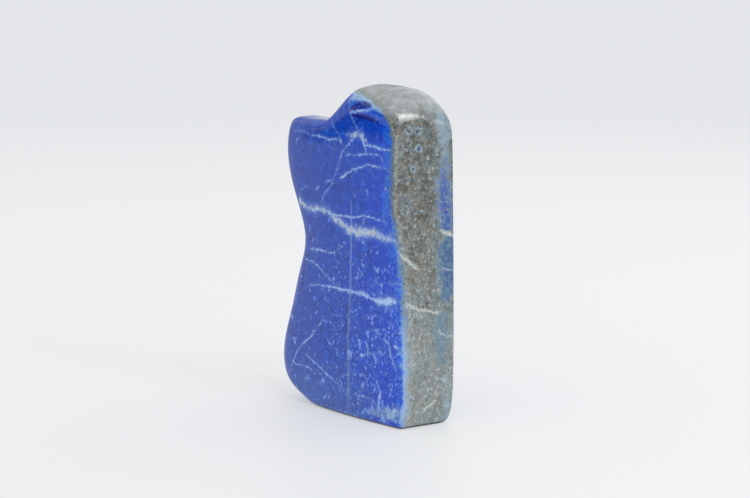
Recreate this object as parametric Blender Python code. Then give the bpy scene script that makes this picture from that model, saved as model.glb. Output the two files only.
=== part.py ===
"""A polished lapis lazuli freeform: one stone that stands on its sawn base.

The stone is a tall slab. Its broad front faces -Y, and its flat right side faces +X.
The left side is ground to a waist with a lobe above it, and the top rises from a notch
beside the lobe to a rounded crown.

The shape starts as a block that is cut into columns across the width, layers through
the thickness and rows up the height. Each corner of those cells is moved to its place on
the stone, and a subdivision surface rounds the whole.
"""

from typing import NamedTuple

import bmesh
import bpy
from mathutils import Matrix, Vector

MM = 0.001
STONE_NAME = "stone"
SMOOTHING_LEVELS = 2

# The stone's driving dimensions in millimetres. X is 0 near the right side's front edge
# and falls to the left, Y runs back from the flat of the front face, Z up from the base.
BASE_THICKNESS = 20.8
TOP_THICKNESS = 19.6
RIGHT_BACK_EDGE = 2.8
BACK_BULGE = 2.4
BACK_EDGE_REACH = 6.5
BASE_FRONT_REACH = 1.0
BASE_BACK_REACH = 1.8

# Where the layer under the crown lies through the thickness, and how far the top has
# risen towards the crown on the layer in front of it and on the layer behind it.
CROWN_LAYER = 0.52
FRONT_RISE = 0.55
BACK_RISE = 0.45

LAPIS_BLUE = (0.030, 0.075, 0.420, 1.0)
POLISH_ROUGHNESS = 0.22


class Column(NamedTuple):
    """One cut across the width, with the heights of the top there."""

    share: float
    front_top: float
    crown: float
    back_top: float
    set_back: float
    edge_round: float


class Row(NamedTuple):
    """One cut up the height, with the places of the left and right edges there."""

    right_height: float
    left_height: float
    left_edge: float
    right_edge: float
    front_inset: float
    back_inset: float


# share is 0 at the left edge and 1 at the right. set_back is how far the front face lies
# behind its flat, and edge_round how far the edge's rounding reaches into the thickness.
COLUMNS = (
    Column(0.000, 89.4, 89.8, 88.3, 0.9, 5.0),
    Column(0.100, 88.5, 88.9, 87.6, 0.1, 5.0),
    Column(0.315, 88.8, 89.3, 87.8, -0.4, 3.5),
    Column(0.395, 88.4, 89.3, 88.1, -0.5, 3.5),
    Column(0.608, 99.3, 101.0, 97.5, -0.6, 3.5),
    Column(0.714, 97.6, 100.2, 98.4, -0.4, 3.5),
    Column(0.871, 94.8, 100.6, 98.6, 0.0, 3.0),
    Column(0.980, 92.4, 95.1, 93.9, 0.2, 1.8),
    Column(1.000, 89.4, 90.2, 87.9, 0.7, 1.4),
)

# right_edge is the right side's front edge. The insets draw the front face and the back
# in, where they round into the base and the top.
ROWS = (
    Row(0.0, 0.0, -41.6, 0.4, 0.2, 4.6),
    Row(1.0, 2.7, -48.2, 1.6, 0.0, 1.7),
    Row(8.0, 6.4, -57.3, 2.3, 0.0, 0.3),
    Row(19.0, 17.5, -58.4, 2.2, 0.0, 0.0),
    Row(31.0, 30.0, -52.6, 1.5, 0.0, 0.0),
    Row(43.0, 42.0, -49.3, 0.3, 0.0, 0.0),
    Row(54.0, 52.0, -44.1, -0.9, 0.0, 0.0),
    Row(65.0, 64.0, -50.6, -1.7, 0.0, 0.0),
    Row(76.0, 76.0, -55.5, -2.2, 0.0, 0.0),
    Row(88.4, 85.2, -54.2, -2.4, 0.0, 0.0),
    Row(90.0, 88.0, -52.5, -2.6, 0.8, 1.5),
)

LAST_COLUMN = len(COLUMNS) - 1
LAST_ROW = len(ROWS) - 1
LAST_LAYER = 4


def clear_scene():
    """Removes every object of the scene that Blender starts with."""
    for thing in list(bpy.data.objects):
        bpy.data.objects.remove(thing, do_unlink=True)


def mix(start, end, share):
    """The value that lies at share of the way from start to end."""
    return start + (end - start) * share


def arch(share):
    """A low arch over a run: 0 at both its ends and 1 in its middle."""
    return 4.0 * share * (1.0 - share)


def layer_depth(column, layer, row):
    """How far behind the front flat a corner of the cells lies."""
    here = COLUMNS[column]
    cut = ROWS[row]
    height_share = row / LAST_ROW
    thickness = mix(BASE_THICKNESS, TOP_THICKNESS, height_share)
    bulge = BACK_BULGE * arch(here.share) * arch(height_share)
    front = here.set_back + cut.front_inset
    back = thickness + bulge - cut.back_inset
    front_reach = BASE_FRONT_REACH if row == 0 else here.edge_round
    back_reach = BASE_BACK_REACH if row == 0 else BACK_EDGE_REACH
    stops = (
        front,
        front + front_reach,
        mix(front, back, CROWN_LAYER),
        back - back_reach,
        back,
    )
    return stops[layer]


def top_height(column, layer):
    """The height of the top at a column, from its front edge over the crown to the back."""
    here = COLUMNS[column]
    heights = (
        here.front_top,
        mix(here.front_top, here.crown, FRONT_RISE),
        here.crown,
        mix(here.back_top, here.crown, BACK_RISE),
        here.back_top,
    )
    return heights[layer]


def stone_point(column, layer, row):
    """The place on the stone of one corner of the cells, in millimetres."""
    share = COLUMNS[column].share
    cut = ROWS[row]
    depth = layer_depth(column, layer, row)
    right_side = mix(cut.right_edge, RIGHT_BACK_EDGE, depth / BASE_THICKNESS)
    across = mix(cut.left_edge, right_side, share)
    up = mix(cut.left_height, cut.right_height, share)
    if row == LAST_ROW:
        up = top_height(column, layer)
    return Vector((across, depth, up))


def cut_block():
    """A unit block, cut by planes into the stone's columns, layers and rows."""
    block = bmesh.new()
    bmesh.ops.create_cube(block, size=1.0, matrix=Matrix.Translation((0.5, 0.5, 0.5)))
    for axis, cells in enumerate((LAST_COLUMN, LAST_LAYER, LAST_ROW)):
        normal = Vector((0.0, 0.0, 0.0))
        normal[axis] = 1.0
        for cut in range(1, cells):
            bmesh.ops.bisect_plane(
                block,
                geom=block.verts[:] + block.edges[:] + block.faces[:],
                plane_co=normal * cut / cells,
                plane_no=normal,
            )
    return block


def stone_mesh():
    """The cage of the stone: the cut block with each corner moved to its place."""
    block = cut_block()
    for corner in block.verts:
        column = round(corner.co.x * LAST_COLUMN)
        layer = round(corner.co.y * LAST_LAYER)
        row = round(corner.co.z * LAST_ROW)
        corner.co = stone_point(column, layer, row) * MM
    mesh = bpy.data.meshes.new(STONE_NAME)
    block.to_mesh(mesh)
    block.free()
    mesh.shade_smooth()
    return mesh


def polished_lapis():
    """The stone's plain finish: deep blue under a polish."""
    material = bpy.data.materials.new("polished_lapis")
    material.use_nodes = True
    shader = material.node_tree.nodes["Principled BSDF"]
    shader.inputs["Base Color"].default_value = LAPIS_BLUE
    shader.inputs["Roughness"].default_value = POLISH_ROUGHNESS
    shader.inputs["Metallic"].default_value = 0.0
    return material


def centre_on_base(stone):
    """Moves the stone's mesh so that the middle of its box's underside is the origin."""
    bpy.context.view_layer.update()
    shown = stone.evaluated_get(bpy.context.evaluated_depsgraph_get())
    corners = [Vector(corner) for corner in shown.bound_box]
    low = Vector(map(min, *corners))
    high = Vector(map(max, *corners))
    middle = (low + high) / 2.0
    stone.data.transform(Matrix.Translation((-middle.x, -middle.y, -low.z)))


def build_stone():
    """Adds the whole stone to the scene."""
    stone = bpy.data.objects.new(STONE_NAME, stone_mesh())
    stone.data.materials.append(polished_lapis())
    bpy.context.scene.collection.objects.link(stone)
    smooth = stone.modifiers.new("rounding", "SUBSURF")
    smooth.levels = SMOOTHING_LEVELS
    smooth.render_levels = SMOOTHING_LEVELS
    centre_on_base(stone)
    return stone


clear_scene()
build_stone()
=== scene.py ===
"""A polished lapis lazuli freeform, standing on its sawn base in a white studio.

The stone replaces the plain CAD node of the same name. Its shape is cut and rounded from
the same sizes as the CAD model, and its finish is one procedural material: deep blue with
calcite veins on the broad faces, and grey-brown matrix on the right side and the crown.

Sizes are in millimetres in the stone's own drawing, where X is 0 near the right side's
front edge and falls to the left, Y runs back from the flat of the front face, and Z runs
up from the base. The studio, its lights and the camera are in metres.
"""

import logging
import math
from dataclasses import dataclass
from enum import Enum
from typing import Iterable, NamedTuple, Sequence

import bmesh
import bpy
from mathutils import Matrix, Vector, noise


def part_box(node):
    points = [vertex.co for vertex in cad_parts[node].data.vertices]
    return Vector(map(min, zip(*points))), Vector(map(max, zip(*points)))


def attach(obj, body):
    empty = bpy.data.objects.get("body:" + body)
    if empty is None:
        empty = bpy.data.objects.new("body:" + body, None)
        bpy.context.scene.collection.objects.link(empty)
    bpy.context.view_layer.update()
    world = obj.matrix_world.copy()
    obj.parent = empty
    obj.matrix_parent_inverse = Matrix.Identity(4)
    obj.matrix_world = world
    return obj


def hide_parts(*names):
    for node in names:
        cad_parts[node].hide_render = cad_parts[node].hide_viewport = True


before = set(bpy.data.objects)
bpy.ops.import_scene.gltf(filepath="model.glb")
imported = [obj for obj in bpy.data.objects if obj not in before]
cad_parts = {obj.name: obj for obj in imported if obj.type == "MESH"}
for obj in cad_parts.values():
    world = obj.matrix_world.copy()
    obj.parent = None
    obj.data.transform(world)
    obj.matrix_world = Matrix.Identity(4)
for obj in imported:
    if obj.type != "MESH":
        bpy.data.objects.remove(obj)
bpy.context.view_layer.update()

MM = 0.001
STONE_NODE = "stone"
ROOT_BODY = "root"

# The colour sockets of a Mix node: its share and two colours, and its outcome.
MIX_COLOUR_INPUTS = (0, 6, 7)
MIX_COLOUR_OUTPUT = 2

Socket = bpy.types.NodeSocket
Feed = bpy.types.NodeSocket | float | Sequence[float]
Tone = tuple[float, float, float, float]

BLACK: Tone = (0.0, 0.0, 0.0, 1.0)
WHITE: Tone = (1.0, 1.0, 1.0, 1.0)

log = logging.getLogger("lapis")


def mix(start: float, end: float, share: float) -> float:
    """The value that lies at share of the way from start to end."""
    return start + (end - start) * share


def arch(share: float) -> float:
    """A low arch over a run: 0 at both its ends and 1 in its middle."""
    return 4.0 * share * (1.0 - share)


def tone(red: float, green: float, blue: float) -> Tone:
    """A colour from the display values a painter reads off a swatch.

    Args:
        red: red from 0 to 255.
        green: green from 0 to 255.
        blue: blue from 0 to 255.

    Returns:
        The same colour in linear light, with a full alpha.
    """
    linear = []
    for part in (red / 255.0, green / 255.0, blue / 255.0):
        low = part <= 0.04045
        linear.append(part / 12.92 if low else ((part + 0.055) / 1.055) ** 2.4)
    return (linear[0], linear[1], linear[2], 1.0)


class Column(NamedTuple):
    """One cut across the width, with the heights of the top there."""

    share: float
    front_top: float
    crown: float
    back_top: float
    set_back: float
    edge_round: float


class Row(NamedTuple):
    """One cut up the height, with the places of the left and right edges there."""

    right_height: float
    left_height: float
    left_edge: float
    right_edge: float
    front_inset: float
    back_inset: float


# share is 0 at the left edge and 1 at the right. set_back is how far the front face lies
# behind its flat, and edge_round how far the edge's rounding reaches into the thickness.
COLUMNS = (
    Column(0.000, 89.4, 89.8, 88.3, 0.9, 5.0),
    Column(0.100, 88.5, 88.9, 87.6, 0.1, 5.0),
    Column(0.315, 88.8, 89.3, 87.8, -0.4, 3.5),
    Column(0.395, 88.4, 89.3, 88.1, -0.5, 3.5),
    Column(0.608, 99.3, 101.0, 97.5, -0.6, 3.5),
    Column(0.714, 97.6, 100.2, 98.4, -0.4, 3.5),
    Column(0.871, 94.8, 100.6, 98.6, 0.0, 3.0),
    Column(0.980, 92.4, 95.1, 93.9, 0.2, 1.8),
    Column(1.000, 89.4, 90.2, 87.9, 0.7, 1.4),
)

# right_edge is the right side's front edge. The insets draw the front face and the back
# in, where they round into the base and the top.
ROWS = (
    Row(0.0, 0.0, -41.6, 0.4, 0.2, 4.6),
    Row(1.0, 2.7, -48.2, 1.6, 0.0, 1.7),
    Row(8.0, 6.4, -57.3, 2.3, 0.0, 0.3),
    Row(19.0, 17.5, -58.4, 2.2, 0.0, 0.0),
    Row(31.0, 30.0, -52.6, 1.5, 0.0, 0.0),
    Row(43.0, 42.0, -49.3, 0.3, 0.0, 0.0),
    Row(54.0, 52.0, -44.1, -0.9, 0.0, 0.0),
    Row(65.0, 64.0, -50.6, -1.7, 0.0, 0.0),
    Row(76.0, 76.0, -55.5, -2.2, 0.0, 0.0),
    Row(88.4, 85.2, -54.2, -2.4, 0.0, 0.0),
    Row(90.0, 88.0, -52.5, -2.6, 0.8, 1.5),
)


@dataclass(frozen=True)
class Waviness:
    """One size of the slight unevenness that hand polishing leaves, in millimetres."""

    length: float
    height: float


@dataclass(frozen=True)
class StoneForm:
    """The shape of the stone: a slab with a waist, a lobe on the left and a crown.

    crown_layer is where the layer under the crown lies through the thickness. The rises
    say how far the top has risen towards the crown in front of it and behind it. polish
    starts and is full at heights above the base, and ease draws in the sawn edge below
    ease_height by shares of the way to its middle.
    """

    base_thickness: float = 20.8
    top_thickness: float = 19.6
    right_back_edge: float = 2.8
    back_bulge: float = 2.4
    back_edge_reach: float = 6.5
    base_front_reach: float = 1.0
    base_back_reach: float = 1.8
    crown_layer: float = 0.52
    front_rise: float = 0.55
    back_rise: float = 0.45
    layers: int = 4
    rounding_levels: int = 4
    polish_starts: float = 2.0
    polish_full: float = 9.0
    waves: tuple[Waviness, ...] = (Waviness(13.0, 0.055), Waviness(4.5, 0.016))
    ease_height: float = 1.3
    ease_across: float = 0.018
    ease_deep: float = 0.06

    def layer_depth(self, column: int, layer: int, row: int) -> float:
        """How far behind the front flat a corner of the cells lies.

        Args:
            column: its cut across the width, from 0 at the left.
            layer: its cut through the thickness, from 0 at the front.
            row: its cut up the height, from 0 at the base.

        Returns:
            The depth in millimetres.
        """
        here = COLUMNS[column]
        cut = ROWS[row]
        height_share = row / (len(ROWS) - 1)
        thickness = mix(self.base_thickness, self.top_thickness, height_share)
        bulge = self.back_bulge * arch(here.share) * arch(height_share)
        front = here.set_back + cut.front_inset
        back = thickness + bulge - cut.back_inset
        front_reach = self.base_front_reach if row == 0 else here.edge_round
        back_reach = self.base_back_reach if row == 0 else self.back_edge_reach
        stops = (
            front,
            front + front_reach,
            mix(front, back, self.crown_layer),
            back - back_reach,
            back,
        )
        return stops[layer]

    def top_height(self, column: int, layer: int) -> float:
        """The height of the top at a column, from its front edge over the crown back.

        Args:
            column: the cut across the width.
            layer: the cut through the thickness.

        Returns:
            The height in millimetres.
        """
        here = COLUMNS[column]
        heights = (
            here.front_top,
            mix(here.front_top, here.crown, self.front_rise),
            here.crown,
            mix(here.back_top, here.crown, self.back_rise),
            here.back_top,
        )
        return heights[layer]

    def corner(self, column: int, layer: int, row: int) -> Vector:
        """The place on the stone of one corner of the cells.

        Args:
            column: its cut across the width.
            layer: its cut through the thickness.
            row: its cut up the height.

        Returns:
            The place in millimetres in the drawing.
        """
        share = COLUMNS[column].share
        cut = ROWS[row]
        depth = self.layer_depth(column, layer, row)
        right_side = mix(cut.right_edge, self.right_back_edge, depth / self.base_thickness)
        across = mix(cut.left_edge, right_side, share)
        up = mix(cut.left_height, cut.right_height, share)
        if row == len(ROWS) - 1:
            up = self.top_height(column, layer)
        return Vector((across, depth, up))

    def cage(self) -> bpy.types.Mesh:
        """The cut block with each of its corners moved to its place on the stone.

        Returns:
            The cage, in metres.
        """
        cells = (len(COLUMNS) - 1, self.layers, len(ROWS) - 1)
        block = bmesh.new()
        bmesh.ops.create_cube(block, size=1.0, matrix=Matrix.Translation((0.5, 0.5, 0.5)))
        for axis, count in enumerate(cells):
            normal = Vector((0.0, 0.0, 0.0))
            normal[axis] = 1.0
            for cut in range(1, count):
                bmesh.ops.bisect_plane(
                    block,
                    geom=block.verts[:] + block.edges[:] + block.faces[:],
                    plane_co=normal * cut / count,
                    plane_no=normal,
                )
        for point in block.verts:
            steps = [round(part * count) for part, count in zip(point.co, cells)]
            point.co = self.corner(*steps) * MM
        mesh = bpy.data.meshes.new("stone_cage")
        block.to_mesh(mesh)
        block.free()
        return mesh

    def rounded(self) -> bpy.types.Mesh:
        """The cage rounded by a subdivision surface.

        Returns:
            The stone's skin.
        """
        carrier = bpy.data.objects.new("stone_rounding", self.cage())
        bpy.context.scene.collection.objects.link(carrier)
        rounding = carrier.modifiers.new("rounding", "SUBSURF")
        rounding.levels = self.rounding_levels
        rounding.render_levels = self.rounding_levels
        depsgraph = bpy.context.evaluated_depsgraph_get()
        skin = bpy.data.meshes.new_from_object(carrier.evaluated_get(depsgraph))
        bpy.data.objects.remove(carrier, do_unlink=True)
        return skin

    def polish(self, skin: bpy.types.Mesh) -> None:
        """Gives the skin the slight unevenness of hand polishing, and none at the base.

        Args:
            skin: the stone's skin.
        """
        work = bmesh.new()
        work.from_mesh(skin)
        work.normal_update()
        shifts = []
        for point in work.verts:
            height = point.co.z / MM
            fade = (height - self.polish_starts) / (self.polish_full - self.polish_starts)
            fade = min(1.0, max(0.0, fade))
            lift = 0.0
            for wave in self.waves:
                spot = point.co / (wave.length * MM)
                lift += noise.noise(spot) * wave.height
            shifts.append(point.normal * (lift * fade * MM))
        for point, shift in zip(work.verts, shifts):
            point.co += shift
        work.to_mesh(skin)
        work.free()

    def ease(self, skin: bpy.types.Mesh) -> None:
        """Draws the sawn edge round the underside in a little, where it is worn.

        Args:
            skin: the stone's skin.
        """
        foot = [point for point in skin.vertices if point.co.z < self.ease_height * MM]
        middle = sum((point.co for point in foot), Vector()) / len(foot)
        for point in foot:
            share = 1.0 - point.co.z / (self.ease_height * MM)
            point.co.x += (middle.x - point.co.x) * self.ease_across * share * share
            point.co.y += (middle.y - point.co.y) * self.ease_deep * share * share

    def fit(self, skin: bpy.types.Mesh) -> None:
        """Sets the skin into the CAD stone's box, so that the two share every outer size.

        Args:
            skin: the stone's skin.
        """
        low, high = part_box(STONE_NODE)
        skin_low = Vector(map(min, zip(*(point.co for point in skin.vertices))))
        skin_high = Vector(map(max, zip(*(point.co for point in skin.vertices))))
        wide = high - low
        skin_wide = skin_high - skin_low
        stretch = Matrix.Diagonal([wide[axis] / skin_wide[axis] for axis in range(3)]).to_4x4()
        skin.transform(Matrix.Translation(low) @ stretch @ Matrix.Translation(-skin_low))

    def build(self) -> bpy.types.Object:
        """Adds the finished stone, in the CAD stone's place and on its body.

        Returns:
            The stone.
        """
        skin = self.rounded()
        self.polish(skin)
        self.ease(skin)
        self.fit(skin)
        skin.name = "lapis_stone"
        skin.shade_smooth()
        stone = bpy.data.objects.new("lapis_stone", skin)
        bpy.context.scene.collection.objects.link(stone)
        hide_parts(STONE_NODE)
        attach(stone, ROOT_BODY)
        return stone


class Run(Enum):
    """Which way a vein runs over its sheet, and so along which way its route is read."""

    ACROSS = "across"
    UP = "up"


class Sheet(Enum):
    """The side of the stone that a vein is drawn on."""

    FACE = "face"
    SIDE = "side"


class Kind(Enum):
    """What fills a vein."""

    THREAD = "thread"
    BELT = "belt"
    PLUMB = "plumb"
    # Dark bands painted over the blue: painted reflections of dark surroundings and a painted
    # shade.
    PAINTED_DARK = "night"
    STRIP = "strip"
    HAZE = "haze"
    TEAL = "teal"
    MILK = "milk"
    CAP = "cap"


@dataclass(frozen=True)
class Vein:
    """One vein, as stops of (across or deep, up, half width) over its sheet."""

    name: str
    kind: Kind
    run: Run
    route: tuple[tuple[float, float, float], ...]
    sheet: Sheet = Sheet.FACE


VEINS = (
    Vein("lobe_thread", Kind.THREAD, Run.ACROSS, (
        (-49.2, 85.0, 0.02), (-42.9, 85.0, 0.04), (-40.4, 84.0, 0.10), (-36.7, 84.0, 0.18),
        (-34.1, 83.6, 0.12), (-30.7, 83.1, 0.26), (-26.5, 83.5, 0.20))),
    Vein("notch_thread", Kind.THREAD, Run.UP, (
        (-24.7, 82.1, 0.16), (-25.9, 84.1, 0.16), (-26.5, 85.2, 0.10), (-29.2, 87.3, 0.06),
        (-29.7, 89.5, 0.04))),
    Vein("crown_streak", Kind.THREAD, Run.ACROSS, (
        (-21.5, 91.5, 0.22), (-17.7, 92.3, 0.26), (-13.7, 92.9, 0.34), (-11.4, 93.6, 0.30))),
    Vein("crown_drop", Kind.THREAD, Run.UP, (
        (-17.7, 86.4, 0.14), (-19.4, 88.9, 0.08), (-21.2, 91.4, 0.12), (-22.6, 95.5, 0.06))),
    Vein("hub", Kind.BELT, Run.ACROSS, (
        (-22.6, 85.2, 0.10), (-20.3, 85.1, 0.45), (-17.8, 85.2, 0.50), (-16.0, 85.1, 0.70),
        (-14.8, 84.3, 0.65), (-13.6, 83.2, 0.30))),
    Vein("hub_tail", Kind.THREAD, Run.UP, (
        (-13.7, 80.1, 0.14), (-14.3, 82.0, 0.26), (-15.2, 83.4, 0.40), (-16.6, 85.1, 0.40))),
    Vein("hub_cross", Kind.THREAD, Run.ACROSS, (
        (-21.6, 82.4, 0.30), (-20.4, 83.2, 0.12), (-18.6, 84.9, 0.24), (-17.4, 86.2, 0.10))),
    Vein("hub_right", Kind.THREAD, Run.ACROSS, (
        (-14.7, 82.6, 0.20), (-10.8, 82.3, 0.30), (-7.5, 82.0, 0.30), (-1.9, 81.8, 0.20))),
    Vein("long_diagonal", Kind.THREAD, Run.UP, (
        (-35.7, 63.4, 0.12), (-33.2, 66.3, 0.10), (-30.8, 68.8, 0.08), (-28.4, 71.2, 0.14),
        (-27.1, 74.3, 0.08), (-25.9, 77.4, 0.10), (-24.1, 80.5, 0.14), (-21.2, 82.9, 0.20),
        (-18.9, 84.9, 0.16))),
    Vein("shelf", Kind.THREAD, Run.ACROSS, (
        (-23.6, 78.7, 0.02), (-21.2, 79.2, 0.12), (-16.6, 79.7, 0.18), (-12.0, 80.2, 0.14),
        (-8.0, 80.2, 0.12))),
    Vein("shelf_end", Kind.THREAD, Run.UP, (
        (-6.3, 76.9, 0.06), (-6.6, 78.7, 0.06), (-8.0, 80.2, 0.10))),
    Vein("arch", Kind.THREAD, Run.ACROSS, (
        (-26.0, 71.7, 0.12), (-24.4, 72.3, 0.48), (-22.4, 73.5, 0.18), (-18.9, 75.1, 0.22),
        (-16.0, 75.9, 0.22), (-13.7, 76.8, 0.16), (-10.8, 76.6, 0.26), (-7.4, 76.5, 0.04),
        (-4.1, 76.2, 0.02))),
    Vein("spur", Kind.THREAD, Run.ACROSS, (
        (-33.2, 70.4, 0.04), (-30.8, 70.8, 0.14), (-28.4, 71.2, 0.14))),
    Vein("left_scratch", Kind.THREAD, Run.ACROSS, (
        (-46.2, 66.5, 0.06), (-42.1, 68.2, 0.06))),
    Vein("left_fleck", Kind.THREAD, Run.ACROSS, (
        (-38.7, 67.5, 0.04), (-37.0, 68.1, 0.28), (-35.6, 68.5, 0.06))),
    Vein("belt", Kind.BELT, Run.ACROSS, (
        (-46.6, 63.9, 0.45), (-43.7, 62.3, 0.50), (-39.4, 61.5, 0.62), (-35.0, 61.7, 0.60),
        (-30.8, 61.2, 0.85), (-27.8, 59.5, 0.80), (-24.8, 58.3, 0.80), (-21.9, 57.0, 1.00),
        (-17.8, 56.5, 1.40), (-13.1, 56.7, 1.35), (-9.7, 56.9, 0.90), (-5.7, 56.1, 0.70),
        (-0.7, 55.6, 0.60), (2.0, 54.6, 0.35))),
    Vein("belt_upper", Kind.THREAD, Run.ACROSS, (
        (-28.9, 60.7, 0.40), (-23.6, 60.7, 0.26), (-18.9, 60.8, 0.22), (-14.3, 61.6, 0.28),
        (-9.7, 61.3, 0.16), (-6.9, 61.0, 0.12), (-4.6, 59.9, 0.06))),
    Vein("belt_link", Kind.THREAD, Run.UP, (
        (-15.8, 57.6, 0.10), (-15.0, 59.6, 0.12), (-14.0, 61.6, 0.14))),
    Vein("right_scratch", Kind.THREAD, Run.ACROSS, (
        (-5.7, 70.4, 0.04), (-2.4, 70.0, 0.04))),
    Vein("short_drop", Kind.THREAD, Run.UP, (
        (-13.1, 67.6, 0.06), (-13.7, 69.8, 0.12))),
    Vein("waist", Kind.THREAD, Run.ACROSS, (
        (-41.0, 49.4, 0.22), (-37.0, 49.3, 0.26), (-33.3, 49.1, 0.16), (-29.7, 48.9, 0.06),
        (-26.6, 50.6, 0.06), (-24.2, 51.8, 0.10))),
    Vein("waist_diagonal", Kind.THREAD, Run.ACROSS, (
        (-43.8, 46.0, 0.10), (-40.7, 45.6, 0.18), (-37.0, 44.3, 0.16), (-33.9, 42.5, 0.12),
        (-30.9, 40.6, 0.14), (-29.7, 39.8, 0.08))),
    Vein("lower_belt", Kind.THREAD, Run.ACROSS, (
        (-41.4, 37.9, 0.10), (-37.1, 38.6, 0.14), (-32.2, 38.7, 0.20), (-28.5, 38.6, 0.34),
        (-24.9, 38.4, 0.38), (-20.2, 38.3, 0.52), (-16.6, 38.4, 0.48), (-13.2, 37.8, 0.46),
        (-9.7, 37.2, 0.42), (-7.4, 37.1, 0.50), (-5.4, 37.3, 0.55), (-3.2, 37.6, 0.50),
        (-1.6, 37.7, 0.40), (-0.4, 37.7, 0.24))),
    Vein("lower_knot", Kind.BELT, Run.ACROSS, (
        (-11.0, 37.4, 0.05), (-8.4, 37.2, 0.40), (-6.0, 37.3, 0.95), (-3.6, 37.6, 1.35),
        (-1.8, 37.8, 0.80), (-0.6, 37.7, 0.15))),
    Vein("edge_dash", Kind.THREAD, Run.ACROSS, (
        (-3.5, 43.0, 0.10), (1.5, 43.6, 0.08))),
    Vein("comet", Kind.THREAD, Run.ACROSS, (
        (-51.9, 9.4, 0.08), (-51.0, 11.0, 0.10), (-50.2, 12.4, 0.60), (-49.4, 13.6, 0.14),
        (-47.9, 16.0, 0.18), (-44.5, 19.1, 0.16), (-43.5, 19.8, 0.65), (-42.4, 20.6, 0.06),
        (-40.9, 21.4, 0.20), (-39.0, 23.6, 0.30), (-37.2, 25.2, -0.10), (-35.3, 26.9, 0.30),
        (-34.0, 29.0, 0.10))),
    Vein("low_diagonal", Kind.THREAD, Run.ACROSS, (
        (-42.5, 15.6, 0.10), (-39.7, 14.5, 0.12), (-36.6, 13.4, 0.14), (-34.1, 12.1, 0.18),
        (-31.7, 11.1, 0.26), (-28.7, 10.0, 0.10), (-25.0, 7.9, 0.08), (-22.6, 6.8, 0.04))),
    Vein("low_left", Kind.THREAD, Run.ACROSS, (
        (-49.9, 12.1, 0.06), (-44.8, 12.1, 0.02), (-40.4, 11.6, 0.08), (-37.9, 10.4, 0.04))),
    Vein("low_right", Kind.THREAD, Run.ACROSS, (
        (-19.1, 7.4, 0.02), (-14.4, 7.6, 0.08), (-10.9, 6.9, 0.06), (-8.0, 5.5, 0.06))),
    Vein("pin", Kind.THREAD, Run.ACROSS, (
        (-17.0, 19.8, 0.14), (-16.1, 19.9, 0.60), (-15.2, 20.1, 0.20), (-10.3, 21.2, 0.06),
        (-4.5, 22.2, 0.04))),
    Vein("pin_drop", Kind.THREAD, Run.UP, (
        (-9.7, 18.4, 0.16), (-10.2, 21.1, 0.20))),
    Vein("feather", Kind.THREAD, Run.UP, (
        (-0.6, 17.6, 0.14), (-2.9, 21.0, 0.28), (-3.8, 24.6, 0.30), (-4.0, 26.5, 0.16))),
    Vein("feather_pad", Kind.THREAD, Run.ACROSS, (
        (-1.7, 24.7, 0.30), (-0.6, 24.5, 0.95), (0.4, 24.2, 0.50))),
    Vein("foot_stroke", Kind.THREAD, Run.UP, (
        (-8.6, 4.6, 0.10), (-8.4, 6.4, 0.34), (-7.9, 8.4, 0.50), (-7.4, 10.5, 0.24),
        (-8.6, 11.9, 0.14))),
    Vein("hook", Kind.THREAD, Run.UP, (
        (-10.6, 29.9, 0.08), (-11.1, 31.7, 0.12), (-9.1, 33.5, 0.10))),
    Vein("plumb", Kind.PLUMB, Run.UP, (
        (-21.8, 0.4, 0.20), (-21.8, 12.7, 0.34), (-21.9, 24.2, 0.28), (-21.5, 31.8, 0.24),
        (-20.8, 38.0, 0.26), (-20.5, 50.9, 0.30), (-20.4, 57.5, 0.30), (-20.3, 66.0, 0.10))),
    # Painted dark reflections on the roll of the face under the crown, and a painted shade
    # along the left edge.
    Vein("upper_painted_reflection", Kind.PAINTED_DARK, Run.ACROSS, (
        (-22.8, 92.2, 0.15), (-20.0, 93.2, 0.75), (-17.7, 93.8, 1.00), (-14.4, 94.3, 1.10),
        (-12.6, 94.4, 0.30))),
    Vein("lower_painted_reflection", Kind.PAINTED_DARK, Run.ACROSS, (
        (-21.4, 91.0, 0.10), (-18.6, 91.0, 0.60), (-14.6, 90.8, 0.75), (-11.6, 90.2, 0.60),
        (-8.8, 89.4, 0.15))),
    Vein("left_shade", Kind.PAINTED_DARK, Run.UP, (
        (-46.2, 33.0, -0.2), (-45.4, 37.0, 0.20), (-44.4, 42.0, 0.28), (-43.7, 46.5, 0.20),
        (-43.8, 50.0, -0.2))),
    Vein("crown_cap", Kind.CAP, Run.ACROSS, (
        (-22.4, 95.4, 0.5), (-20.0, 96.8, 1.0), (-17.0, 96.6, 1.5), (-14.6, 96.2, 1.3),
        (-12.8, 95.0, 0.5))),
    Vein("foot_cap", Kind.CAP, Run.ACROSS, (
        (-12.5, 3.0, 0.2), (-8.5, 3.6, 1.2), (-4.5, 4.0, 2.1), (-1.0, 4.4, 2.4),
        (2.0, 4.6, 2.0))),
    Vein("upper_strip", Kind.STRIP, Run.UP, (
        (17.4, 57.8, 2.0), (17.4, 60.0, 2.4), (16.8, 65.0, 2.4), (16.6, 69.5, 2.2),
        (16.4, 73.8, 1.3), (16.6, 79.0, 0.4)), Sheet.SIDE),
    Vein("middle_strip", Kind.STRIP, Run.UP, (
        (17.8, 36.8, 1.5), (17.9, 39.0, 3.0), (18.3, 47.0, 4.0), (18.3, 53.0, 3.9),
        (18.0, 55.2, 2.4)), Sheet.SIDE),
    Vein("lower_strip", Kind.TEAL, Run.UP, (
        (15.2, 18.0, 0.8), (15.0, 21.0, 2.2), (15.0, 27.0, 2.7), (15.4, 31.0, 2.6),
        (15.6, 33.6, 1.2)), Sheet.SIDE),
    Vein("foot_haze", Kind.HAZE, Run.UP, (
        (17.8, 1.0, 1.0), (17.4, 6.0, 1.5), (17.0, 12.0, 1.2), (16.8, 15.0, 0.3)), Sheet.SIDE),
    # Painted reflection: a pale patch where the side rounds over at the back under the crown.
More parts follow.
